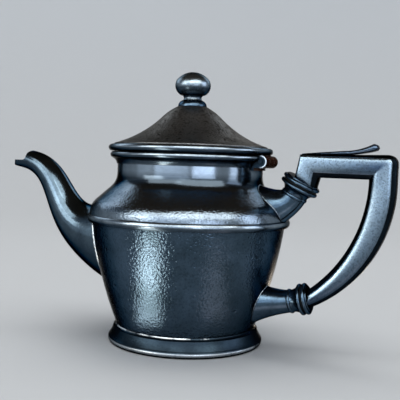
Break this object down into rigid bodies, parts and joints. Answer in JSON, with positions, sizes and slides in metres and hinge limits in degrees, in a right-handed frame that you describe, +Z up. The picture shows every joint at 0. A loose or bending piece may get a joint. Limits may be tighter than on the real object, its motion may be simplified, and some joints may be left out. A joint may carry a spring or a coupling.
{
  "type": "teapot",
  "caption": "Silver-plated teapot with a tapered belted body, hinged conical lid with a round finial, gooseneck spout and a bevelled square-cornered handle on insulated sockets.",
  "frame": {"origin": "centre of the foot ring's underside, on the surface that the pot stands on", "axes": "+X towards the handle, +Y across the pot, +Z up; the spout points along -X"},
  "size_m": [0.2158, 0.105, 0.1394],
  "materials": {
    "silver_plate": "polished silver plate on nickel silver, worn and tarnished blue-grey",
    "cast_plate": "silver plate on soft-edged castings, darker in the recesses",
    "satin_plate": "silver plate rubbed to a satin grain",
    "insulator_fibre": "dark matte fibre",
    "plain_metal": "plain turned nickel silver"
  },
  "bodies": {
    "pot": {"lower_body": "silver_plate", "upper_body": "silver_plate", "belt_moulding": "silver_plate", "mouth_moulding": "silver_plate", "foot_ring": "silver_plate", "spout": "silver_plate", "upper_socket": "cast_plate", "upper_insulator": "insulator_fibre", "upper_ferrule": "cast_plate", "upper_handle_pin": "plain_metal", "lower_socket": "cast_plate", "lower_insulator": "insulator_fibre", "lower_ferrule": "cast_plate", "lower_handle_pin": "plain_metal", "handle": "satin_plate", "thumb_rest": "satin_plate", "hinge_body_leaf": "cast_plate", "hinge_pin": "plain_metal"},
    "lid": {"hinge_lid_leaf": "cast_plate", "lid_rim_moulding": "silver_plate", "lid_collar": "silver_plate", "lid_dome": "satin_plate", "finial_base": "silver_plate", "finial_knob": "silver_plate", "finial_stud": "plain_metal", "finial_washer": "plain_metal", "finial_nut": "plain_metal"}
  },
  "joints": [
    {"name": "lid_hinge", "type": "hinge", "parent": "pot", "child": "lid", "pos_m": [0.0412, 0, 0.0943], "axis": [0, 1, 0], "range_deg": [0, 105]}
  ]
}
